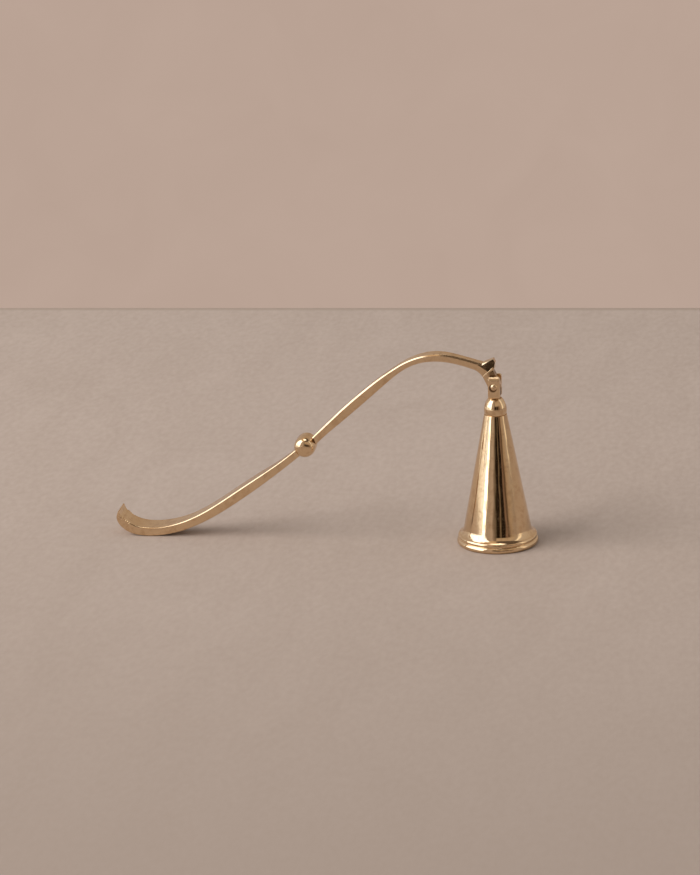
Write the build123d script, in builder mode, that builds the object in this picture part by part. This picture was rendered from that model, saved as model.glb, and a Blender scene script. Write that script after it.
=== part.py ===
from build123d import *
from math import atan2, cos, radians, sin
import os

# Candle snuffer in polished brass, in millimetres.
# The origin is the centre of the bell's mouth on the table, +Z is up, and the handle reaches back along -X.

# Whole object
handle_reach = 157.0
knop_reach = 77.8
knop_height = 39.45
knop_tilt = 36.0
overrun = 1.0

# Bell: a spun hollow cone with a flared foot of two beads
bell_height = 54.3
cone_foot_radius = 14.9
cone_top_radius = 4.6
bell_wall = 1.1
crown_thickness = 1.8
foot_radius = 16.5
foot_land = 0.5
foot_bead_height = 2.45
foot_groove_radius = 15.75
shoulder_bead_radius = 16.05
shoulder_bead_height = 1.75
shoulder_bead_top_radius = 15.2
flare_height = 2.6

# Cap: the flattened ball between the cone and the fork
cap_height = 6.7
cap_radius = 4.6
cap_base_share = 0.94
cap_outline_shares = ((1.0, 0.27), (0.945, 0.56), (0.83, 0.77))
cap_top_share = 0.6

# Fork: two ears on a base, with the stem that draws the bell together
ear_width = 4.8
fork_depth = 7.8
fork_base_height = 1.4
ear_rise_over_pin = 4.2
pin_rise = 5.4
ear_corner_radius = 1.4
ear_crown_radius = 1.8
fork_edge_chamfer = 0.5
stem_radius = 1.3
stem_clearance = 0.05
stem_tail = 0.6

# Nut inside the crown of the bell
nut_across_flats = 5.0
nut_height = 2.0
nut_chamfer = 0.3
thread_fit = 0.02

# Pin, riveted in the ears
pin_radius = 1.0
pin_head_radius = 1.35
pin_head_height = 0.5
dome_share = 0.75
pin_running_clearance = 0.05
rivet_fit = 0.02

# Tongue of the upper arm, which turns between the ears
tongue_thickness = 3.0
tongue_side_clearance = 0.2
tongue_end_radius = 2.6

# Bend of the upper arm, measured from the pin
bend_reach = 8.2
bend_rise = 6.75
bend_width = 5.0
bend_end_thickness = 3.3
bend_chamfer = 0.75
elbow_reach = 5.8
elbow_rise = 5.15
neck_left_reach = 4.6
neck_left_rise = 3.6
spur_notch = 4.8
spur_notch_rise = 9.3
spur_back = 2.6
spur_back_rise = 10.15
spur_tip_reach = 0.35
spur_tip_rise = 11.15
spur_tip_width = 2.8
spur_face_reach = 0.4
spur_face_rise = 9.6
neck_right_reach = 0.35
neck_right_rise = 6.2
facet_start_reach = 6.5
facet_start_rise = 8.9
facet_foot_reach = 3.0
facet_foot_rise = 6.5

# Collar across the neck, square to the way the neck runs
collar_tilt = 43.0
collar_reach = 2.3
collar_rise = 5.65
collar_length = 5.6
collar_thickness = 0.8
collar_stand = 0.3

# Bead: a turned barrel that lies across the handle, and the stud that crosses it a little below its axis
knop_width = 11.0
knop_radius = 4.25
knop_end_radius = 2.4
knop_crown = 0.15
knop_round_bulge = 0.45
knop_band_share = 0.55
stud_radius = 0.8
stud_drop = 0.7
stud_bite = 3.0
stud_end_gap = 0.3
bar_seat = 2.6

# Bar of the lower arm: the underside in shares of its reach and rise, from the claw's tip to the bead,
# and its sections as shares of the path, the thickness and the width
lower_thickness = 3.9
lower_width = 10.8
lower_end_thickness = 3.0
lower_end_width = 4.5
lower_end_drop = 1.95
edge_chamfer_share = 0.14
lower_path_shares = (
    (0.010, 0.286),
    (0.000, 0.212),
    (0.026, 0.100),
    (0.093, 0.020),
    (0.179, 0.000),
    (0.276, 0.026),
    (0.390, 0.102),
    (0.497, 0.214),
    (0.648, 0.423),
    (0.793, 0.649),
    (0.935, 0.884),
)
lower_section_shares = (
    (0.000, 0.09, 0.97),
    (0.018, 0.42, 0.98),
    (0.036, 0.76, 0.99),
    (0.090, 0.93, 1.00),
    (0.190, 0.92, 1.00),
    (0.320, 0.90, 0.91),
    (0.380, 0.90, 0.85),
    (0.450, 0.93, 0.83),
    (0.540, 0.98, 0.83),
    (0.660, 1.01, 0.83),
    (0.760, 0.95, 0.80),
    (0.820, 0.87, 0.68),
    (0.880, 0.80, 0.54),
    (0.940, 0.76, 0.45),
)

# Bar of the upper arm, from the bead to the bend, with the share of its thickness that is chamfered
upper_thickness = 3.95
upper_width = 6.3
upper_end_thickness = 3.0
upper_end_width = 3.3
upper_end_drop = 2.35
upper_path_shares = (
    (0.075, 0.143),
    (0.195, 0.345),
    (0.328, 0.574),
    (0.459, 0.807),
    (0.550, 0.955),
    (0.654, 1.062),
    (0.771, 1.095),
    (0.887, 1.063),
)
upper_section_shares = (
    (0.115, 0.83, 0.50, 0.14),
    (0.215, 0.97, 0.49, 0.14),
    (0.335, 1.02, 0.53, 0.14),
    (0.435, 0.95, 0.62, 0.14),
    (0.510, 0.835, 0.68, 0.14),
    (0.580, 0.69, 0.78, 0.15),
    (0.655, 0.63, 0.87, 0.16),
    (0.730, 0.66, 1.00, 0.17),
    (0.805, 0.76, 0.98, 0.18),
    (0.880, 0.80, 0.82, 0.20),
    (0.950, 0.81, 0.77, 0.22),
)

# Places that follow from the sizes
cap_top = bell_height + cap_height
pin_height = cap_top + pin_rise
slot_floor = cap_top + fork_base_height
slot_width = tongue_thickness + 2 * tongue_side_clearance
ear_top = pin_height + ear_rise_over_pin

knop_axis = Vector(cos(radians(knop_tilt)), 0, sin(radians(knop_tilt)))
knop_up = Vector(-sin(radians(knop_tilt)), 0, cos(radians(knop_tilt)))
knop_centre = Vector(-knop_reach, 0, knop_height)
stud_plane = Plane(origin=knop_centre - knop_up * stud_drop, x_dir=(0, 1, 0), z_dir=knop_axis)
stud_reach = knop_radius + stud_bite

side_plane = Plane.XZ


def cone_radius(height):
    """Outer radius of the cone at a height."""
    return cone_foot_radius + (cone_top_radius - cone_foot_radius) * height / bell_height


def bar_section(place, direction, width, thickness, chamfer_size):
    """Chamfered bar section that stands on a point of the underside, square to the way the bar runs."""
    half = width / 2
    outline = (
        (-half + chamfer_size, 0),
        (half - chamfer_size, 0),
        (half, chamfer_size),
        (half, thickness - chamfer_size),
        (half - chamfer_size, thickness),
        (-half + chamfer_size, thickness),
        (-half, thickness - chamfer_size),
        (-half, chamfer_size),
    )
    with BuildSketch(Plane(origin=place, x_dir=(0, 1, 0), z_dir=direction)) as section:
        with BuildLine():
            Polyline(*outline, close=True)
        make_face()
    return section.sketch


def bar_sections(path, sizes):
    """Sections of a bar at shares of its underside path, each with its width, thickness and chamfer."""
    return [
        bar_section(path @ along, path % along, width, thickness, chamfer_size)
        for along, width, thickness, chamfer_size in sizes
    ]


def spread(start, end, shares):
    """Points at shares of the box from one point to another in the XZ plane."""
    return [
        Vector(start.X + (end.X - start.X) * across, 0, start.Z + (end.Z - start.Z) * up)
        for across, up in shares
    ]


# Bead blank: the turned barrel before it is bored, which also shapes the ends of both bars
with BuildPart() as knop_blank:
    with BuildSketch(Plane(origin=knop_centre, x_dir=(1, 0, 0), z_dir=(0, 0, 1))):
        with BuildLine():
            end = knop_width / 2
            band = end * knop_band_share
            waist = knop_radius - knop_crown
            shoulder_out = (waist + knop_end_radius) / 2 + knop_round_bulge
            shoulder_along = (band + end) / 2 + knop_round_bulge
            Line((0, -end), (knop_end_radius, -end))
            ThreePointArc((knop_end_radius, -end), (shoulder_out, -shoulder_along), (waist, -band))
            ThreePointArc((waist, -band), (knop_radius, 0), (waist, band))
            ThreePointArc((waist, band), (shoulder_out, shoulder_along), (knop_end_radius, end))
            Polyline((knop_end_radius, end), (0, end), (0, -end))
        make_face()
    revolve(axis=Axis(knop_centre, (0, 1, 0)))

# Knop: the bead, bored across for the stud
with BuildPart() as knop:
    add(knop_blank.part)
    with BuildSketch(stud_plane):
        Circle(stud_radius + thread_fit)
    extrude(amount=knop_radius + overrun, both=True, mode=Mode.SUBTRACT)
knop.part.label = "knop"

# Handle stud: threaded rod through the bead into both arms
with BuildPart() as handle_stud:
    with BuildSketch(stud_plane):
        Circle(stud_radius)
    extrude(amount=stud_reach, both=True)
handle_stud.part.label = "handle_stud"

# Lower arm: cast bar with a clawed thumb rest, filed hollow at the end that meets the bead
lower_start = Vector(-handle_reach, 0, 0)
lower_end = knop_centre - knop_axis * bar_seat - knop_up * lower_end_drop
with BuildLine() as lower_path:
    Spline(*spread(lower_start, lower_end, lower_path_shares), lower_end)
lower_edge = lower_path.line.edges()[0]
lower_sizes = []
for along, thick_share, width_share in lower_section_shares:
    thickness = lower_thickness * thick_share
    lower_sizes.append((along, lower_width * width_share, thickness, thickness * edge_chamfer_share))
lower_sizes.append((1, lower_end_width, lower_end_thickness, lower_end_thickness * edge_chamfer_share))
with BuildPart() as lower_arm:
    add(bar_sections(lower_edge, lower_sizes))
    loft()
    add(knop_blank.part, mode=Mode.SUBTRACT)
    with BuildSketch(stud_plane):
        Circle(stud_radius + thread_fit)
    extrude(amount=-(stud_reach + stud_end_gap), mode=Mode.SUBTRACT)
lower_arm.part.label = "lower_arm"

# Bend of the upper arm: the full-width block between bar and neck, drawn out into a faceted spur
upper_start = knop_centre + knop_axis * bar_seat - knop_up * upper_end_drop
bend_start = Vector(-bend_reach, 0, pin_height + bend_rise)
with BuildLine() as upper_path:
    Spline(upper_start, *spread(upper_start, bend_start, upper_path_shares), bend_start)
upper_edge = upper_path.line.edges()[0]
bend_end_way = upper_edge % 1
bend_end_up = Vector(-bend_end_way.Z, 0, bend_end_way.X)
bend_top = bend_start + bend_end_up * bend_end_thickness
half_bend = bend_width / 2
elbow = (-elbow_reach, pin_height + elbow_rise)
neck_left = (-neck_left_reach, pin_height + neck_left_rise)
neck_right = (-neck_right_reach, pin_height + neck_right_rise)
spur_face = (spur_face_reach, pin_height + spur_face_rise)
spur_tip = (-spur_tip_reach, pin_height + spur_tip_rise)
spur_hollow = (-spur_back, pin_height + spur_back_rise)
notch = (-spur_notch, pin_height + spur_notch_rise)
with BuildPart() as bend_block:
    with BuildSketch(side_plane):
        with BuildLine():
            ThreePointArc((bend_start.X, bend_start.Z), elbow, neck_left)
            Polyline(neck_left, neck_right, spur_face, spur_tip)
            ThreePointArc(spur_tip, spur_hollow, notch)
            Polyline(notch, (bend_top.X, bend_top.Z), (bend_start.X, bend_start.Z))
        make_face()
    extrude(amount=half_bend, both=True)
    crest = ((bend_top.X + notch[0]) / 2, (bend_top.Z + notch[1]) / 2)
    long_edges = [
        bend_block.edges().sort_by_distance((across, side * half_bend, up))[0]
        for side in (1, -1)
        for across, up in (elbow, crest, spur_hollow)
    ]
    chamfer(long_edges, bend_chamfer)
    for side in (1, -1):
        facet_start = Vector(-facet_start_reach, side * half_bend, pin_height + facet_start_rise)
        facet_foot = Vector(-facet_foot_reach, side * half_bend, pin_height + facet_foot_rise)
        facet_tip = Vector(-spur_tip_reach, side * spur_tip_width / 2, pin_height + spur_tip_rise)
        flank = (facet_tip - facet_start).cross(facet_foot - facet_start) * side
        split(bisect_by=Plane(origin=facet_start, z_dir=flank), keep=Keep.BOTTOM)

# Upper arm: cast bar that ends in the bend, the spur, the collar and the tongue
upper_sizes = [(0, upper_end_width, upper_end_thickness, upper_end_thickness * edge_chamfer_share)]
for along, thick_share, width_share, chamfer_share in upper_section_shares:
    thickness = upper_thickness * thick_share
    upper_sizes.append((along, upper_width * width_share, thickness, thickness * chamfer_share))
upper_sizes.append((1, bend_width, bend_end_thickness, bend_chamfer))
with BuildPart() as upper_arm:
    add(bar_sections(upper_edge, upper_sizes))
    loft()
    add(knop_blank.part, mode=Mode.SUBTRACT)
    add(bend_block.part)
    with BuildSketch(side_plane):
        with Locations(Location((-collar_reach, pin_height + collar_rise), collar_tilt)):
            Rectangle(collar_length, collar_thickness)
    extrude(amount=half_bend + collar_stand, both=True)
    with BuildSketch(side_plane):
        with Locations((0, pin_height)):
            Circle(tongue_end_radius)
        with BuildLine():
            Polyline(neck_left, neck_right, (0, pin_height), close=True)
        make_face()
        make_hull()
    extrude(amount=tongue_thickness / 2, both=True)
    with BuildSketch(side_plane):
        with Locations((0, pin_height)):
            Circle(pin_radius + pin_running_clearance)
    extrude(amount=fork_depth, both=True, mode=Mode.SUBTRACT)
    with BuildSketch(stud_plane):
        Circle(stud_radius + thread_fit)
    extrude(amount=stud_reach + stud_end_gap, mode=Mode.SUBTRACT)
upper_arm.part.label = "upper_arm"

# Bell: hollow cone, open at the mouth, with a crown that the stem passes through
crown_floor = bell_height - crown_thickness
cone_lean = atan2(cone_foot_radius - cone_top_radius, bell_height)
wall_across = bell_wall / cos(cone_lean)
groove_height = foot_bead_height
shoulder_top = foot_bead_height + shoulder_bead_height
flare_top = shoulder_top + flare_height
with BuildPart() as bell:
    with BuildSketch(side_plane):
        with BuildLine():
            land = (foot_radius - foot_land, 0)
            foot_belly = (foot_radius, foot_bead_height / 2)
            groove = (foot_groove_radius, groove_height)
            shoulder_belly = (shoulder_bead_radius, groove_height + shoulder_bead_height / 2)
            shoulder = (shoulder_bead_top_radius, shoulder_top)
            cone_start = (cone_radius(flare_top), flare_top)
            cone_end = (cone_top_radius, bell_height)
            bore = stem_radius + stem_clearance
            ThreePointArc(land, foot_belly, groove)
            ThreePointArc(groove, shoulder_belly, shoulder)
            TangentArc(cone_start, shoulder, tangent=(sin(cone_lean), -cos(cone_lean)))
            Polyline(cone_start, cone_end, (bore, bell_height), (bore, crown_floor))
            Line((bore, crown_floor), (cone_radius(crown_floor) - wall_across, crown_floor))
            Line((cone_radius(crown_floor) - wall_across, crown_floor), (cone_foot_radius - wall_across, 0))
            Line((cone_foot_radius - wall_across, 0), land)
        make_face()
    revolve(axis=Axis.Z)
bell.part.label = "bell"

# Cap: flattened ball that sits on the crown of the bell
with BuildPart() as cap:
    with BuildSketch(side_plane):
        with BuildLine():
            bore = stem_radius + stem_clearance
            rim = (cap_radius * cap_base_share, bell_height)
            flat_edge = (cap_radius * cap_top_share, cap_top)
            outline = [
                (cap_radius * out, bell_height + cap_height * up) for out, up in cap_outline_shares
            ]
            Spline(rim, *outline, flat_edge)
            Polyline(flat_edge, (bore, cap_top), (bore, bell_height), rim)
        make_face()
    revolve(axis=Axis.Z)
cap.part.label = "cap"

# Fork: base and two ears sawn from one block whose top is rounded both ways, with the threaded stem below
stem_length = cap_height + crown_thickness + nut_height + stem_tail
with BuildPart() as fork:
    with BuildSketch(Plane.XY.offset(cap_top)) as fork_foot:
        Rectangle(ear_width, fork_depth)
        chamfer(fork_foot.vertices(), fork_edge_chamfer)
    extrude(amount=ear_top - cap_top)
    chamfer(fork.faces().sort_by(Axis.Z)[0].edges(), fork_edge_chamfer)
    with BuildSketch(side_plane) as ear_front:
        with Locations((0, cap_top)):
            Rectangle(ear_width, ear_top - cap_top, align=(Align.CENTER, Align.MIN))
        fillet(ear_front.vertices().group_by(Axis.Z)[-1], ear_corner_radius)
    extrude(amount=fork_depth / 2, both=True, mode=Mode.INTERSECT)
    with BuildSketch(Plane.YZ) as ear_end:
        with Locations((0, cap_top)):
            Rectangle(fork_depth, ear_top - cap_top, align=(Align.CENTER, Align.MIN))
        fillet(ear_end.vertices().group_by(Axis.Z)[-1], ear_crown_radius)
    extrude(amount=ear_width / 2, both=True, mode=Mode.INTERSECT)
    with BuildSketch(Plane.XY.offset(slot_floor)):
        Rectangle(ear_width + 2 * overrun, slot_width)
    extrude(amount=ear_top - slot_floor + overrun, mode=Mode.SUBTRACT)
    with BuildSketch(side_plane):
        with Locations((0, pin_height)):
            Circle(pin_radius + rivet_fit)
    extrude(amount=fork_depth, both=True, mode=Mode.SUBTRACT)
    with BuildSketch(Plane.XY.offset(cap_top)):
        Circle(stem_radius)
    extrude(amount=-stem_length)
fork.part.label = "fork"

# Pin: rivet with a domed head on each ear
with BuildPart() as pivot_pin:
    with BuildSketch(Plane.YZ):
        with BuildLine():
            ear_face = fork_depth / 2
            head_top = ear_face + pin_head_height
            Line((-head_top, pin_height), (head_top, pin_height))
            for side in (1, -1):
                dome = (
                    side * (ear_face + pin_head_height * dome_share),
                    pin_height + pin_head_radius * dome_share,
                )
                ThreePointArc((side * head_top, pin_height), dome, (side * ear_face, pin_height + pin_head_radius))
                Line(
                    (side * ear_face, pin_height + pin_head_radius),
                    (side * ear_face, pin_height + pin_radius),
                )
            Line((-ear_face, pin_height + pin_radius), (ear_face, pin_height + pin_radius))
        make_face()
    revolve(axis=Axis((0, 0, pin_height), (0, 1, 0)))
pivot_pin.part.label = "pivot_pin"

# Nut: hexagon nut up against the inside of the crown
with BuildPart() as stem_nut:
    with BuildSketch(Plane.XY.offset(crown_floor)):
        RegularPolygon(nut_across_flats / 2, side_count=6, major_radius=False)
    extrude(amount=-nut_height)
    chamfer(stem_nut.faces().sort_by(Axis.Z)[0].edges(), nut_chamfer)
    with BuildSketch(Plane.XY.offset(crown_floor)):
        Circle(stem_radius + thread_fit)
    extrude(amount=-nut_height, mode=Mode.SUBTRACT)
stem_nut.part.label = "stem_nut"

os.makedirs("parts", exist_ok=True)
for piece in (lower_arm, knop, handle_stud, upper_arm, pivot_pin, fork, cap, bell, stem_nut):
    export_step(piece.part, f"parts/{piece.part.label}.step")
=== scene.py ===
from math import cos, pi, radians, sin

import bpy
import numpy as np
from mathutils import Matrix, Vector


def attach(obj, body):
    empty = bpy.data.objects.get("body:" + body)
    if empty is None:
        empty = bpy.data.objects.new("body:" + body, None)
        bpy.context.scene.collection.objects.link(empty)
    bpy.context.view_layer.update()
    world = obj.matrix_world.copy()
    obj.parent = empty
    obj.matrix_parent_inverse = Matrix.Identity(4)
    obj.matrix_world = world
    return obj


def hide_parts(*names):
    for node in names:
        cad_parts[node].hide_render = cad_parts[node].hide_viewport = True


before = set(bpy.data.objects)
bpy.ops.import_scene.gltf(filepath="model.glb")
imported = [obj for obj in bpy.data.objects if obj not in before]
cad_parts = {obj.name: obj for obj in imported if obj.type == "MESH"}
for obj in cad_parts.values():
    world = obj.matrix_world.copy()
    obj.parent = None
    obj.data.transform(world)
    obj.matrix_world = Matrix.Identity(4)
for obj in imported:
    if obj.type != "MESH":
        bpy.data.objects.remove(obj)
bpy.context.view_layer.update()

# Lower arm: the flat bar from the bead down to the upturned, clawed thumb rest. It is solid yellow brass,
# bent, filed flat with a chamfer along each long edge, and buffed along its length. The hairlines that this
# leaves draw a reflection out a little, and the hand has left faint brown patches.
handle_reach_mm = 157.0
lower_arm_end_mm = (-78.757, 36.344)
lower_arm_thickness_mm = 3.9
lower_arm_width_mm = 10.8
lower_arm_chamfer_share = 0.085
lower_arm_corner_mm = 0.12
lower_arm_path_shares = [
    (0.010, 0.286), (0.000, 0.212), (0.026, 0.100), (0.093, 0.020), (0.179, 0.000), (0.276, 0.026),
    (0.390, 0.102), (0.497, 0.214), (0.648, 0.423), (0.793, 0.649), (0.935, 0.884), (1.000, 1.000)]
lower_arm_section_shares = [
    (0.000, 0.10, 0.97), (0.014, 0.42, 0.97), (0.028, 0.70, 0.98), (0.044, 0.84, 0.99), (0.070, 0.91, 1.00),
    (0.110, 0.94, 1.00), (0.160, 0.94, 1.00), (0.220, 0.92, 0.98), (0.270, 0.91, 0.95), (0.320, 0.90, 0.91),
    (0.380, 0.90, 0.86), (0.450, 0.93, 0.83), (0.540, 0.98, 0.83), (0.660, 1.01, 0.83), (0.760, 0.95, 0.80),
    (0.820, 0.87, 0.68), (0.880, 0.80, 0.54), (0.940, 0.76, 0.45), (1.000, 0.76, 0.42)]
lower_arm_rows = 320
claw_nicks_mm = (2.4, 4.1, 5.7, 7.2, 8.6)
claw_nick_width_mm = 0.38
claw_nick_depth_mm = 0.50
lower_arm_slope = 22.0
# Real buffing lines lie about 0.05 mm apart. That is too fine to show, so they are drawn coarser.
bar_hairline_gap_mm = 0.35
bar_hairline_length_mm = 9.0
bar_stain_mm = 3.0
bar_stain_share = 0.35
bar_cloud_mm = 14.0
bar_edge_round_mm = 0.11
bar_wave_mm = 7.0
bar_wave_depth_mm = 0.03
bar_roughness = 0.12
brass_colour = "#E2C59E"
brass_pale = "#EBD1AC"
brass_stain = "#B48B60"
# Colour of the painted shade in corners and slots, below the collar and round the rivet.
brass_painted_shade = "#5E4128"
stain_starts = 0.44
stain_is_full = 0.70
stain_roughness = 0.22
# Painted shade from ambient occlusion: how far it looks, the openness where it starts and ends, and how
# dark it gets.
corner_reach_mm = 1.4
corner_is_open = 0.62
corner_is_closed = 0.15
corner_painted_shade = 0.7
edge_is_flat = 0.995
edge_is_worn = 0.93
edge_wear = 0.8
hairline_depth_mm = 0.006
smooth_line_share = 0.8
rough_line_share = 1.35


def millimetres(length):
    return length / 1000


def linear(hex_colour):
    channels = [int(hex_colour[place:place + 2], 16) / 255 for place in (1, 3, 5)]
    return [c / 12.92 if c <= 0.04045 else ((c + 0.055) / 1.055) ** 2.4 for c in channels] + [1.0]


def add_node(tree, kind, settings, links):
    made = tree.nodes.new(kind)
    for name, value in settings.items():
        if isinstance(name, str) and hasattr(made, name):
            setattr(made, name, value)
        else:
            made.inputs[name].default_value = value
    for name, source in links.items():
        tree.links.new(source, made.inputs[name])
    return made


def buffed_brass(name, line_scale, roughness, stain_mm, stain_share, cloud_mm, edge_mm, wave_scale,
                 wave_depth_mm, line_turn=(0, 0, 0), painted_shade_spots=()):
    """Brass that a wheel has buffed: hairlines, faint stains, brighter worn edges, painted shade in the
    corners.

    A painted shade spot is its middle, the two radii between which it fades, and how dark it is.
    """
    material = bpy.data.materials.new(name)
    material.use_nodes = True
    tree = material.node_tree
    tree.nodes.clear()
    place = add_node(tree, "ShaderNodeTexCoord", {}, {}).outputs["Object"]
    lines_at = add_node(tree, "ShaderNodeMapping", {"Rotation": line_turn, "Scale": line_scale},
                        {"Vector": place})
    hairlines = add_node(tree, "ShaderNodeTexNoise", {"Scale": 1.0, "Detail": 3.0, "Roughness": 0.6},
                         {"Vector": lines_at.outputs[0]})
    stains = add_node(tree, "ShaderNodeTexNoise",
                      {"Scale": 1 / millimetres(stain_mm), "Detail": 5.0, "Roughness": 0.62,
                       "Distortion": 0.4},
                      {"Vector": place})
    clouds = add_node(tree, "ShaderNodeTexNoise", {"Scale": 1 / millimetres(cloud_mm), "Detail": 2.0},
                      {"Vector": place})

    tone = add_node(tree, "ShaderNodeMix",
                    {"data_type": "RGBA", 6: linear(brass_pale), 7: linear(brass_colour)},
                    {0: clouds.outputs["Fac"]})
    stain_amount = add_node(tree, "ShaderNodeMapRange",
                            {"interpolation_type": "SMOOTHSTEP", "From Min": stain_starts,
                             "From Max": stain_is_full, "To Max": stain_share},
                            {"Value": stains.outputs["Fac"]})
    stained = add_node(tree, "ShaderNodeMix", {"data_type": "RGBA", 7: linear(brass_stain)},
                       {0: stain_amount.outputs[0], 6: tone.outputs[2]})

    # Painted shade: the colour darkens where ambient occlusion finds other surfaces close by, in corners,
    # slots and hollows.
    corners = add_node(tree, "ShaderNodeAmbientOcclusion",
                       {"samples": 6, "Distance": millimetres(corner_reach_mm)}, {})
    corner_shade_amount = add_node(tree, "ShaderNodeMapRange",
                            {"From Min": corner_is_open, "From Max": corner_is_closed,
                             "To Max": corner_painted_shade},
                            {"Value": corners.outputs["AO"]})
    painted_shade_share = corner_shade_amount.outputs[0]
    # Each spot paints a dark patch of shade at a given place, such as below the collar or round the rivet.
    for middle_mm, inner_mm, outer_mm, depth in painted_shade_spots:
        off = add_node(tree, "ShaderNodeVectorMath",
                       {"operation": "SUBTRACT", 1: [millimetres(v) for v in middle_mm]}, {0: place})
        sideways = add_node(tree, "ShaderNodeVectorMath", {"operation": "MULTIPLY", 1: (1, 0, 1)},
                            {0: off.outputs[0]})
        distance = add_node(tree, "ShaderNodeVectorMath", {"operation": "LENGTH"}, {0: sideways.outputs[0]})
        spot = add_node(tree, "ShaderNodeMapRange",
                        {"interpolation_type": "SMOOTHSTEP", "From Min": millimetres(outer_mm),
                         "From Max": millimetres(inner_mm), "To Max": depth},
                        {"Value": distance.outputs["Value"]})
        painted_shade_share = add_node(tree, "ShaderNodeMath", {"operation": "MAXIMUM"},
                               {0: painted_shade_share, 1: spot.outputs[0]}).outputs[0]
    painted_shade_mixed = add_node(tree, "ShaderNodeMix", {"data_type": "RGBA", 7: linear(brass_painted_shade)},
                      {0: painted_shade_share, 6: stained.outputs[2]})

    rounded = add_node(tree, "ShaderNodeBevel", {"samples": 6, "Radius": millimetres(edge_mm)}, {})
    flat = add_node(tree, "ShaderNodeNewGeometry", {}, {})
    off_flat = add_node(tree, "ShaderNodeVectorMath", {"operation": "DOT_PRODUCT"},
                        {0: rounded.outputs[0], 1: flat.outputs["Normal"]})
    edge_amount = add_node(tree, "ShaderNodeMapRange",
                           {"From Min": edge_is_flat, "From Max": edge_is_worn, "To Max": edge_wear},
                           {"Value": off_flat.outputs["Value"]})
    worn = add_node(tree, "ShaderNodeMix", {"data_type": "RGBA", 7: linear(brass_pale)},
                    {0: edge_amount.outputs[0], 6: painted_shade_mixed.outputs[2]})

    line_roughness = add_node(tree, "ShaderNodeMapRange",
                              {"From Min": 0.35, "From Max": 0.7, "To Min": roughness * smooth_line_share,
                               "To Max": roughness * rough_line_share},
                              {"Value": hairlines.outputs["Fac"]})
    all_roughness = add_node(tree, "ShaderNodeMath", {"operation": "MULTIPLY_ADD", 1: stain_roughness},
                             {0: stain_amount.outputs[0], 2: line_roughness.outputs[0]})
    line_bump = add_node(tree, "ShaderNodeBump",
                         {"Strength": 0.25, "Distance": millimetres(hairline_depth_mm)},
                         {"Height": hairlines.outputs["Fac"], "Normal": rounded.outputs[0]})
    waves_at = add_node(tree, "ShaderNodeMapping", {"Scale": wave_scale}, {"Vector": place})
    waves = add_node(tree, "ShaderNodeTexNoise", {"Scale": 1.0, "Detail": 1.0},
                     {"Vector": waves_at.outputs[0]})
    wave_bump = add_node(tree, "ShaderNodeBump", {"Strength": 1.0, "Distance": millimetres(wave_depth_mm)},
                         {"Height": waves.outputs["Fac"], "Normal": line_bump.outputs[0]})
    surface = add_node(tree, "ShaderNodeBsdfPrincipled", {"Metallic": 1.0},
                       {"Base Color": worn.outputs[2], "Roughness": all_roughness.outputs[0],
                        "Normal": wave_bump.outputs[0]})
    add_node(tree, "ShaderNodeOutputMaterial", {}, {"Surface": surface.outputs[0]})
    return material


def hairline_scale(gap_mm, length_mm):
    return (1 / millimetres(length_mm), 1 / millimetres(gap_mm), 1 / millimetres(gap_mm))


def dress(node_name, material):
    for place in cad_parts[node_name].material_slots:
        place.material = material


def every(gap_mm):
    return (1 / millimetres(gap_mm),) * 3


def smooth_through(places, values, wanted):
    """Values at the wanted places of a natural cubic curve through the given ones."""
    places = np.asarray(places, float)
    values = np.asarray(values, float)
    gaps = np.diff(places)
    last = len(places) - 1
    left = np.eye(last + 1)
    right = np.zeros_like(values)
    for i in range(1, last):
        left[i, i - 1:i + 2] = gaps[i - 1], 2 * (gaps[i - 1] + gaps[i]), gaps[i]
        right[i] = 6 * ((values[i + 1] - values[i]) / gaps[i] - (values[i] - values[i - 1]) / gaps[i - 1])
    bends = np.linalg.solve(left, right)
    k = np.clip(np.searchsorted(places, wanted) - 1, 0, last - 1)
    h = gaps[k][:, None]
    a = (places[k + 1] - wanted)[:, None] / h
    b = 1 - a
    return (a * values[k] + b * values[k + 1]
            + ((a ** 3 - a) * bends[k] + (b ** 3 - b) * bends[k + 1]) * h ** 2 / 6)


def rounded_outline(outline, radius):
    """Each corner of an eight-sided outline becomes three points of a small round."""
    points = []
    for i, corner in enumerate(outline):
        before = (outline[i - 1] - corner) / np.linalg.norm(outline[i - 1] - corner)
        after = outline[(i + 1) % len(outline)] - corner
        after = after / np.linalg.norm(after)
        inward = (before + after) / np.linalg.norm(before + after)
        cut_back = radius * np.tan(pi / 8)
        points += [corner + before * cut_back, corner + inward * radius * (1 / cos(pi / 8) - 1),
                   corner + after * cut_back]
    return points


def rows_mesh(name, rows):
    """A closed skin over rows that all have the same number of points, with a face over each end."""
    count = len(rows[0])
    faces = [(r * count + i, r * count + (i + 1) % count,
              (r + 1) * count + (i + 1) % count, (r + 1) * count + i)
             for r in range(len(rows) - 1) for i in range(count)]
    faces += [tuple(reversed(range(count))), tuple(range((len(rows) - 1) * count, len(rows) * count))]
    mesh = bpy.data.meshes.new(name)
    mesh.from_pydata([tuple(millimetres(v) for v in point) for row in rows for point in row], [], faces)
    mesh.shade_smooth()
    mesh.update()
    piece = bpy.data.objects.new(name, mesh)
    bpy.context.collection.objects.link(piece)
    even = piece.modifiers.new("flats stay flat", "WEIGHTED_NORMAL")
    even.weight = 100
    return piece


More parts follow.
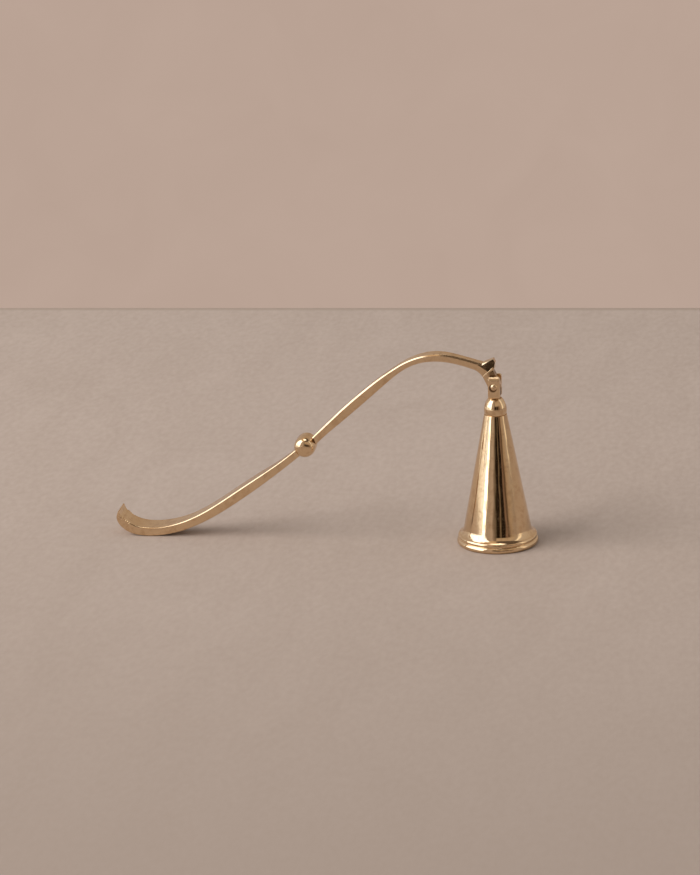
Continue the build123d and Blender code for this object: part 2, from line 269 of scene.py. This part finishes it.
corner_points = np.array([(-handle_reach_mm + (lower_arm_end_mm[0] + handle_reach_mm) * across,
                           lower_arm_end_mm[1] * rise) for across, rise in lower_arm_path_shares])
corner_places = np.concatenate([[0], np.cumsum(np.linalg.norm(np.diff(corner_points, axis=0), axis=1))])
fine_places = np.linspace(0, corner_places[-1], 2001)
fine_points = smooth_through(corner_places, corner_points, fine_places)
fine_lengths = np.concatenate([[0], np.cumsum(np.linalg.norm(np.diff(fine_points, axis=0), axis=1))])
steps = np.linspace(0, 1, lower_arm_rows)
row_shares = steps * (0.35 + 0.65 * steps)
row_lengths = row_shares * fine_lengths[-1]
underside = np.stack([np.interp(row_lengths, fine_lengths, fine_points[:, i]) for i in (0, 1)], axis=1)
ahead = np.stack([np.interp(row_lengths, fine_lengths, np.gradient(fine_points[:, i], fine_lengths))
                  for i in (0, 1)], axis=1)
ahead /= np.linalg.norm(ahead, axis=1)[:, None]
shares = np.array(lower_arm_section_shares)
row_sizes = smooth_through(shares[:, 0], shares[:, 1:], row_shares)
arm_rows = []
for (x, z), (way_x, way_z), (thick_share, width_share), length in zip(
        underside, ahead, row_sizes, row_lengths):
    thick = lower_arm_thickness_mm * thick_share
    half = lower_arm_width_mm * width_share / 2
    cut = thick * lower_arm_chamfer_share
    nick = sum(np.exp(-((length - middle) / claw_nick_width_mm) ** 2) for middle in claw_nicks_mm)
    top_cut = cut + claw_nick_depth_mm * nick
    outline = [np.array(p) for p in (
        (-half + cut, 0), (half - cut, 0), (half, cut), (half, thick - top_cut), (half - top_cut, thick),
        (-half + top_cut, thick), (-half, thick - top_cut), (-half, cut))]
    corner = min(lower_arm_corner_mm, cut)
    arm_rows.append([(x - way_z * up_mm, across_mm, z + way_x * up_mm)
                     for across_mm, up_mm in rounded_outline(outline, corner)])
lower_bar = rows_mesh("lower_arm_bar", arm_rows)
lower_bar.data.materials.append(buffed_brass(
    "yellow brass bar buffed along its length, held end",
    line_scale=hairline_scale(bar_hairline_gap_mm, bar_hairline_length_mm),
    line_turn=(0, radians(lower_arm_slope), 0), roughness=bar_roughness, stain_mm=bar_stain_mm,
    stain_share=bar_stain_share, cloud_mm=bar_cloud_mm, edge_mm=bar_edge_round_mm,
    wave_scale=every(bar_wave_mm), wave_depth_mm=bar_wave_depth_mm))
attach(lower_bar, "handle")
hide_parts("lower_arm")

# Bead: a barrel of brass turned between centres, with its axis across the handle, and drilled across for
# the stud. The cutting tool leaves rings round the axis that the buff hasn't quite taken out.
bead_middle_mm = (-77.9, 39.3)
bead_radius_mm = 4.42
bead_half_width_mm = 6.0
bead_end_power = 0.56
bead_side_power = 0.78
bead_rows = 56
bead_points = 72
bead_ring_gap_mm = 0.30
bead_ring_length_mm = 30.0

bead_outline = []
for row in range(bead_rows + 1):
    turn = pi * (row + 0.5) / (bead_rows + 1)
    out = cos(turn)
    across = bead_half_width_mm * abs(out) ** bead_end_power * (1 if out > 0 else -1)
    radius = bead_radius_mm * sin(turn) ** bead_side_power
    bead_outline.append([(bead_middle_mm[0] + radius * cos(2 * pi * i / bead_points), across,
                          bead_middle_mm[1] + radius * sin(2 * pi * i / bead_points))
                         for i in range(bead_points)])
bead = rows_mesh("handle_bead", bead_outline)
bead_ring_scale = (1 / millimetres(bead_ring_length_mm), 1 / millimetres(bead_ring_gap_mm),
                   1 / millimetres(bead_ring_length_mm))
bead.data.materials.append(buffed_brass(
    "turned brass bead, buffed on the lathe", line_scale=bead_ring_scale, roughness=0.09, stain_mm=1.8,
    stain_share=0.35, cloud_mm=6.0, edge_mm=0.1, wave_scale=every(3.0), wave_depth_mm=0.02))
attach(bead, "handle")
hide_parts("knop")

# Stud: a threaded brass rod inside the bead that draws the two arms against it. It can't be seen when the
# handle is together, and is left as cut, so it is duller than the rest.
cut_line_gap_mm = 0.25
cut_line_length_mm = 3.0
cut_roughness = 0.3
dress("handle_stud", buffed_brass(
    "cut brass rod, not buffed", line_scale=hairline_scale(cut_line_gap_mm, cut_line_length_mm),
    roughness=cut_roughness, stain_mm=1.2, stain_share=0.7, cloud_mm=5.0, edge_mm=0.1,
    wave_scale=every(3.0), wave_depth_mm=0.02))

# Upper arm: the narrower bar that arches over to the bell. Its end is bent down, with a spur left on the
# outside of the bend, a collar filed round the neck, and a flat tongue below it for the hinge. It is buffed
# like the lower arm, and a dark patch of painted shade is laid below the collar.
upper_arm_slope = 20.0
# Painted shadow below the collar: its middle, the radii between which it fades, and how dark it is.
neck_painted_shadow = ((-0.8, 0, 71.3), 0.8, 2.3, 0.75)
dress("upper_arm", buffed_brass(
    "yellow brass bar buffed along its length, arched end",
    line_scale=hairline_scale(bar_hairline_gap_mm, bar_hairline_length_mm),
    line_turn=(0, radians(upper_arm_slope), 0), roughness=bar_roughness, stain_mm=bar_stain_mm,
    stain_share=bar_stain_share, cloud_mm=bar_cloud_mm, edge_mm=bar_edge_round_mm,
    wave_scale=every(bar_wave_mm), wave_depth_mm=bar_wave_depth_mm, painted_shade_spots=[neck_painted_shadow]))

# Hinge pin: a short brass rivet through both ears of the fork and the tongue between them. Its two ends
# are hammered to low domes, which leaves a dimpled, slightly rough face.
dimple_gap_mm = 0.5
dimple_length_mm = 0.8
dress("pivot_pin", buffed_brass(
    "brass rivet with hammered heads", line_scale=hairline_scale(dimple_gap_mm, dimple_length_mm),
    roughness=0.2, stain_mm=0.9, stain_share=0.5, cloud_mm=2.0, edge_mm=0.1,
    wave_scale=every(dimple_length_mm), wave_depth_mm=0.01))

# Fork: two ears filed from one small block of brass, with the stem that goes down through the cap. The
# files leave straight marks down each ear, and painted shade darkens the slot and a crescent round the
# rivet.
file_mark_gap_mm = 0.3
file_mark_length_mm = 4.0
file_mark_scale = (1 / millimetres(file_mark_gap_mm), 1 / millimetres(file_mark_gap_mm),
                   1 / millimetres(file_mark_length_mm))
# Painted shadow round the rivet's head, set off to the left and down so that it shows as a crescent.
rivet_painted_shadow = ((-0.35, 0, 66.05), 1.4, 1.85, 0.9)
dress("fork", buffed_brass(
    "brass block filed to two ears and buffed", line_scale=file_mark_scale, roughness=0.16, stain_mm=1.1,
    stain_share=0.2, cloud_mm=4.0, edge_mm=0.16, wave_scale=every(2.0), wave_depth_mm=0.02,
    painted_shade_spots=[rivet_painted_shadow]))

# Cap: a small flattened ball, turned, and drilled down its middle for the stem. It closes the top of the
# cone and is the brightest of the turned pieces.
turned_ring_gap_mm = 0.3
turned_ring_length_mm = 30.0
turned_ring_scale = (1 / millimetres(turned_ring_length_mm), 1 / millimetres(turned_ring_length_mm),
                     1 / millimetres(turned_ring_gap_mm))
dress("cap", buffed_brass(
    "turned brass cap, mirror buffed", line_scale=turned_ring_scale, roughness=0.08, stain_mm=2.0,
    stain_share=0.4, cloud_mm=8.0, edge_mm=0.12, wave_scale=every(3.0), wave_depth_mm=0.02))

# Bell: a hollow cone of brass, cast and then turned inside and out, with two beads round its flared foot.
# It is buffed on the lathe to a near mirror, with rings so fine that they only soften the reflections.
bell_ripple_width_mm = 1.8
bell_ripple_length_mm = 30.0
bell_ripple_depth_mm = 0.05
bell_ripple_scale = (1 / millimetres(bell_ripple_width_mm), 1 / millimetres(bell_ripple_width_mm),
                     1 / millimetres(bell_ripple_length_mm))
dress("bell", buffed_brass(
    "turned brass cone, mirror buffed", line_scale=turned_ring_scale, roughness=0.06, stain_mm=3.0,
    stain_share=0.35, cloud_mm=16.0, edge_mm=0.15, wave_scale=bell_ripple_scale,
    wave_depth_mm=bell_ripple_depth_mm))

# Nut: a small hexagonal brass nut inside the top of the bell, which draws fork, cap and bell together on
# the stem. It is left as it was milled, so its flats are dull and stained.
dress("stem_nut", buffed_brass(
    "milled brass nut, not buffed", line_scale=hairline_scale(cut_line_gap_mm, cut_line_length_mm),
    roughness=cut_roughness, stain_mm=1.2, stain_share=0.8, cloud_mm=4.0, edge_mm=0.12,
    wave_scale=every(3.0), wave_depth_mm=0.02))

# Table and wall: smooth troweled plaster in a warm grey beige, matt, with faint sweeps of the trowel. The
# table ends a little behind the snuffer, and the wall beyond it is the backdrop that the world gives.
table_pale = "#B9A79B"
table_dark = "#AB998C"
# Painted shade: the tone that the table darkens to towards the camera.
table_painted_near_shade = "#9F8E82"
# Painted pool of window light: the pale tone that the table turns to far to the left.
table_painted_window_light = "#E9E4DF"
wall_colour = "#B7A092"
wall_pale = "#BDA698"
joint_colour = "#A49284"
table_back = (-0.1169, 0.3378)
table_back_turn = radians(3.57)
table_front = 1.6
table_side = 2.0
table_sweep_mm = 60.0
table_grain_mm = 2.4
table_grain_stretch = 0.45
sweep_turn = radians(20)
sweep_stretch = (2.0, 0.7, 1)
sweep_levels = (0.32, 0.70)
grain_levels = (0.30, 0.70)
near_most = 0.9
joint_width = 0.003
by_window_start = -0.31
by_window_end = -0.40
near_start = 0.12
near_end = -0.45

back_way = Vector((cos(table_back_turn), sin(table_back_turn), 0))
back_middle = Vector((table_back[0], table_back[1], 0))
front_way = Vector((sin(table_back_turn), -cos(table_back_turn), 0))
corners = [back_middle - back_way * table_side + front_way * (table_front + table_back[1]),
           back_middle + back_way * table_side + front_way * (table_front + table_back[1]),
           back_middle + back_way * table_side, back_middle - back_way * table_side]
table_mesh = bpy.data.meshes.new("plaster table")
table_mesh.from_pydata(corners, [], [(0, 1, 2, 3)])
table_top = bpy.data.objects.new("plaster_table", table_mesh)
bpy.context.collection.objects.link(table_top)

plaster = bpy.data.materials.new("troweled plaster, matt")
plaster.use_nodes = True
tree = plaster.node_tree
tree.nodes.clear()
place = add_node(tree, "ShaderNodeTexCoord", {}, {}).outputs["Object"]
sweep_at = add_node(tree, "ShaderNodeMapping", {"Rotation": (0, 0, sweep_turn), "Scale": sweep_stretch},
                    {"Vector": place})
sweeps = add_node(tree, "ShaderNodeTexNoise",
                  {"Scale": 1 / millimetres(table_sweep_mm), "Detail": 9.0, "Roughness": 0.72,
                   "Distortion": 0.8},
                  {"Vector": sweep_at.outputs[0]})
grain_at = add_node(tree, "ShaderNodeMapping", {"Scale": (1, table_grain_stretch, 1)}, {"Vector": place})
grain = add_node(tree, "ShaderNodeTexNoise", {"Scale": 1 / millimetres(table_grain_mm), "Detail": 3.0},
                 {"Vector": grain_at.outputs[0]})
grain_tone = add_node(tree, "ShaderNodeValToRGB", {}, {"Fac": grain.outputs["Fac"]})
sweep_tone = add_node(tree, "ShaderNodeValToRGB", {}, {"Fac": sweeps.outputs["Fac"]})
for ramp, levels in ((sweep_tone.color_ramp, sweep_levels), (grain_tone.color_ramp, grain_levels)):
    for element, level, tone in zip(ramp.elements, levels, (table_dark, table_pale)):
        element.position = level
        element.color = linear(tone)
plain_tone = add_node(tree, "ShaderNodeMix", {"data_type": "RGBA", 0: 0.5},
                      {6: grain_tone.outputs[0], 7: sweep_tone.outputs[0]})
along = add_node(tree, "ShaderNodeSeparateXYZ", {}, {0: place})
# Painted shade: the table is mixed towards a darker tone towards the camera.
nearer = add_node(tree, "ShaderNodeMapRange",
                  {"interpolation_type": "SMOOTHSTEP", "From Min": near_start, "From Max": near_end,
                   "To Max": near_most},
                  {"Value": along.outputs["Y"]})
painted_near_shade_tone = add_node(tree, "ShaderNodeMix", {"data_type": "RGBA", 7: linear(table_painted_near_shade)},
                     {0: nearer.outputs[0], 6: plain_tone.outputs[2]})
# Painted window light: the table is mixed towards a pale tone far to the left, by the window.
towards_window = add_node(tree, "ShaderNodeMapRange",
                          {"interpolation_type": "SMOOTHSTEP", "From Min": by_window_start,
                           "From Max": by_window_end},
                          {"Value": along.outputs["X"]})
painted_window_light_tone = add_node(tree, "ShaderNodeMix", {"data_type": "RGBA", 7: linear(table_painted_window_light)},
                           {0: towards_window.outputs[0], 6: painted_near_shade_tone.outputs[2]})
from_back = add_node(tree, "ShaderNodeVectorMath", {"operation": "SUBTRACT", 1: back_middle}, {0: place})
to_back = add_node(tree, "ShaderNodeVectorMath", {"operation": "DOT_PRODUCT", 1: front_way},
                   {0: from_back.outputs[0]})
joint = add_node(tree, "ShaderNodeMapRange",
                 {"interpolation_type": "SMOOTHSTEP", "From Min": 2 * joint_width,
                  "From Max": joint_width / 2},
                 {"Value": to_back.outputs["Value"]})
joined = add_node(tree, "ShaderNodeMix", {"data_type": "RGBA", 7: linear(joint_colour)},
                  {0: joint.outputs[0], 6: painted_window_light_tone.outputs[2]})
plaster_bump = add_node(tree, "ShaderNodeBump", {"Strength": 0.3, "Distance": millimetres(0.2)},
                        {"Height": grain.outputs["Fac"]})
plaster_surface = add_node(tree, "ShaderNodeBsdfPrincipled", {"Roughness": 0.85, "Specular IOR Level": 0.3},
                           {"Base Color": joined.outputs[2], "Normal": plaster_bump.outputs[0]})
add_node(tree, "ShaderNodeOutputMaterial", {}, {"Surface": plaster_surface.outputs[0]})
table_mesh.materials.append(plaster)

# Light: one large soft box on the left gives the light and the soft shadows. What the brass mirrors is the
# room: a pale window on the left, warm plaster, a lamp overhead, a dark doorway to the right of the camera.
softbox_azimuth = -62.0
softbox_elevation = 26.0
softbox_distance = 3.0
softbox_size = 2.6
softbox_watts = 112.0
room_fill = "#C4C2C0"
room_strength = 3.0
window_azimuths = (-106, -92, -37, -31)
window_heights = (3, 8, 56, 66)
window_tone = "#EEF0F6"
# Each tone stands at its angle round the room, in degrees from the front.
room_tones = [(-180, "#6A5D50"), (-112, "#7A7471"), (-99, "#837F7D"), (-95, "#493E33"), (-91, "#B0B0B6"),
              (-86, "#C6C8CE"), (-82, "#7E7A76"), (-78, "#BABDC5"), (-71, "#A6A9AF"), (-66, "#76726E"),
              (-61, "#A4A7AD"), (-55, "#B4B7BD"), (-51, "#94928F"), (-48, "#FFFFFF"), (-38, "#FFFFFF"),
              (-33, "#665D58"), (-12, "#70665F"), (-4, "#4A413A"), (1, "#2E2922"), (5, "#130D07"),
              (16, "#130D07"), (19, "#54493D"), (22, "#130D07"), (33, "#130D07"), (38, "#54443A"),
              (46, "#30251C"), (54, "#66584B"), (78, "#6C645D"), (86, "#AAA296"), (91, "#AAA296"),
              (98, "#7A736D"), (180, "#6A5D50")]
ceiling_tone = "#7F6F5E"
overhead_dark_tone = "#3A322C"
overhead_lamp_tone = "#F4F4F6"
lintel_tone = "#726659"
lintel_azimuths = (-4, 4, 60, 75)
lintel_heights = (16, 26)
ceiling_heights = (50, 58)
lamp_heights = (75, 81)
below_heights = (-0.5, -3)
overhead_split = (-0.06, 0.08)
beyond_table_tone = "#665A53"


def towards(azimuth, elevation):
    a = radians(azimuth)
    e = radians(elevation)
    return Vector((sin(a) * cos(e), -cos(a) * cos(e), sin(e)))


softbox_data = bpy.data.lights.new("softbox", "AREA")
softbox_data.shape = "SQUARE"
softbox_data.size = softbox_size
softbox_data.energy = softbox_watts
softbox = bpy.data.objects.new("softbox", softbox_data)
softbox_way = towards(softbox_azimuth, softbox_elevation)
softbox.location = softbox_way * softbox_distance
softbox.rotation_mode = "QUATERNION"
softbox.rotation_quaternion = softbox_way.to_track_quat("Z", "Y")
softbox.visible_camera = False
softbox.visible_glossy = False
bpy.context.collection.objects.link(softbox)

world = bpy.data.worlds.new("plain studio room")
bpy.context.scene.world = world
world.use_nodes = True
tree = world.node_tree
tree.nodes.clear()
direction = add_node(tree, "ShaderNodeTexCoord", {}, {}).outputs["Generated"]
way = add_node(tree, "ShaderNodeSeparateXYZ", {}, {0: direction})
forward = add_node(tree, "ShaderNodeMath", {"operation": "MULTIPLY", 1: -1.0}, {0: way.outputs["Y"]})
azimuth_angle = add_node(tree, "ShaderNodeMath", {"operation": "ARCTAN2"},
                         {0: way.outputs["X"], 1: forward.outputs[0]})
elevation_angle = add_node(tree, "ShaderNodeMath", {"operation": "ARCSINE"}, {0: way.outputs["Z"]})


def between(value, start, full, full_end, end):
    """One inside two angles and zero outside them, with a soft change at both."""
    rise = add_node(tree, "ShaderNodeMapRange",
                    {"interpolation_type": "SMOOTHSTEP", "From Min": radians(start),
                     "From Max": radians(full)},
                    {"Value": value})
    fall = add_node(tree, "ShaderNodeMapRange",
                    {"interpolation_type": "SMOOTHSTEP", "From Min": radians(end),
                     "From Max": radians(full_end)},
                    {"Value": value})
    return add_node(tree, "ShaderNodeMath", {"operation": "MULTIPLY"},
                    {0: rise.outputs[0], 1: fall.outputs[0]})


azimuth_share = add_node(tree, "ShaderNodeMapRange", {"From Min": -pi, "From Max": pi},
                         {"Value": azimuth_angle.outputs[0]})
room = add_node(tree, "ShaderNodeValToRGB", {}, {"Fac": azimuth_share.outputs[0]})
while len(room.color_ramp.elements) < len(room_tones):
    room.color_ramp.elements.new(1.0)
for element, (angle, tone) in zip(room.color_ramp.elements, room_tones):
    element.position = (angle + 180) / 360
    element.color = linear(tone)
overhead_side = add_node(tree, "ShaderNodeMapRange",
                         {"interpolation_type": "SMOOTHSTEP", "From Min": overhead_split[0],
                          "From Max": overhead_split[1]},
                         {"Value": way.outputs["X"]})
overhead = add_node(tree, "ShaderNodeMix",
                    {"data_type": "RGBA", 6: linear(ceiling_tone), 7: linear(overhead_dark_tone)},
                    {0: overhead_side.outputs[0]})
high = add_node(tree, "ShaderNodeMapRange",
                {"interpolation_type": "SMOOTHSTEP", "From Min": radians(ceiling_heights[0]),
                 "From Max": radians(ceiling_heights[1])},
                {"Value": elevation_angle.outputs[0]})
above_door = add_node(tree, "ShaderNodeMapRange",
                      {"interpolation_type": "SMOOTHSTEP", "From Min": radians(lintel_heights[0]),
                       "From Max": radians(lintel_heights[1])},
                      {"Value": elevation_angle.outputs[0]})
in_lintel = add_node(tree, "ShaderNodeMath", {"operation": "MULTIPLY"},
                     {0: between(azimuth_angle.outputs[0], *lintel_azimuths).outputs[0],
                      1: above_door.outputs[0]})
with_lintel = add_node(tree, "ShaderNodeMix", {"data_type": "RGBA", 7: linear(lintel_tone)},
                       {0: in_lintel.outputs[0], 6: room.outputs[0]})
walls_and_ceiling = add_node(tree, "ShaderNodeMix", {"data_type": "RGBA"},
                             {0: high.outputs[0], 6: with_lintel.outputs[2], 7: overhead.outputs[2]})
at_lamp = add_node(tree, "ShaderNodeMapRange",
                   {"interpolation_type": "SMOOTHSTEP", "From Min": radians(lamp_heights[0]),
                    "From Max": radians(lamp_heights[1])},
                   {"Value": elevation_angle.outputs[0]})
with_lamp = add_node(tree, "ShaderNodeMix", {"data_type": "RGBA", 7: linear(overhead_lamp_tone)},
                     {0: at_lamp.outputs[0], 6: walls_and_ceiling.outputs[2]})
in_window = add_node(tree, "ShaderNodeMath", {"operation": "MULTIPLY"},
                     {0: between(azimuth_angle.outputs[0], *window_azimuths).outputs[0],
                      1: between(elevation_angle.outputs[0], *window_heights).outputs[0]})
with_window = add_node(tree, "ShaderNodeMix", {"data_type": "RGBA", 7: linear(window_tone)},
                       {0: in_window.outputs[0], 6: with_lamp.outputs[2]})
low = add_node(tree, "ShaderNodeMapRange",
               {"interpolation_type": "SMOOTHSTEP", "From Min": radians(below_heights[0]),
                "From Max": radians(below_heights[1])},
               {"Value": elevation_angle.outputs[0]})
mirrored = add_node(tree, "ShaderNodeMix", {"data_type": "RGBA", 7: linear(beyond_table_tone)},
                    {0: low.outputs[0], 6: with_window.outputs[2]})
wall_marks = add_node(tree, "ShaderNodeTexNoise", {"Scale": 45.0, "Detail": 5.0, "Distortion": 0.8},
                      {"Vector": direction})
wall = add_node(tree, "ShaderNodeMix", {"data_type": "RGBA", 6: linear(wall_colour), 7: linear(wall_pale)},
                {0: wall_marks.outputs["Fac"]})
ray = add_node(tree, "ShaderNodeLightPath", {}, {})
fill_light = add_node(tree, "ShaderNodeBackground", {"Color": linear(room_fill), "Strength": 1.0}, {})
mirror_light = add_node(tree, "ShaderNodeBackground", {"Strength": room_strength},
                        {"Color": mirrored.outputs[2]})
wall_light = add_node(tree, "ShaderNodeBackground", {"Strength": 1.0}, {"Color": wall.outputs[2]})
fill_or_mirror = add_node(tree, "ShaderNodeMixShader", {},
                          {0: ray.outputs["Is Glossy Ray"], 1: fill_light.outputs[0],
                           2: mirror_light.outputs[0]})
all_light = add_node(tree, "ShaderNodeMixShader", {},
                     {0: ray.outputs["Is Camera Ray"], 1: fill_or_mirror.outputs[0],
                      2: wall_light.outputs[0]})
add_node(tree, "ShaderNodeOutputWorld", {}, {"Surface": all_light.outputs[0]})

# Camera: a long lens, a little to the right of the handle's middle and about eighteen degrees up, turned
# by less than two degrees, as in the photograph.
camera_azimuth = 9.95
camera_elevation = 17.71
camera_roll = radians(1.75)
camera_distance = 1.62009
camera_target = Vector((-0.0596, 0, 0.04284))
lens_in_pixels = 4000
frame_height_pixels = 875
sensor_mm = 36

camera_data = bpy.data.cameras.new("camera")
camera_data.sensor_fit = "AUTO"
camera_data.sensor_width = sensor_mm
camera_data.lens = lens_in_pixels / frame_height_pixels * sensor_mm
camera_data.clip_start = 0.1
camera_data.clip_end = 20
camera = bpy.data.objects.new("camera", camera_data)
bpy.context.collection.objects.link(camera)
back = towards(camera_azimuth, camera_elevation)
level = Vector((cos(radians(camera_azimuth)), sin(radians(camera_azimuth)), 0))
upright = back.cross(level)
right = level * cos(camera_roll) - upright * sin(camera_roll)
up = level * sin(camera_roll) + upright * cos(camera_roll)
turn = Matrix((right, up, back)).transposed().to_4x4()
camera.matrix_world = Matrix.Translation(camera_target + back * camera_distance) @ turn
bpy.context.scene.camera = camera

bpy.context.scene.view_settings.view_transform = "Standard"
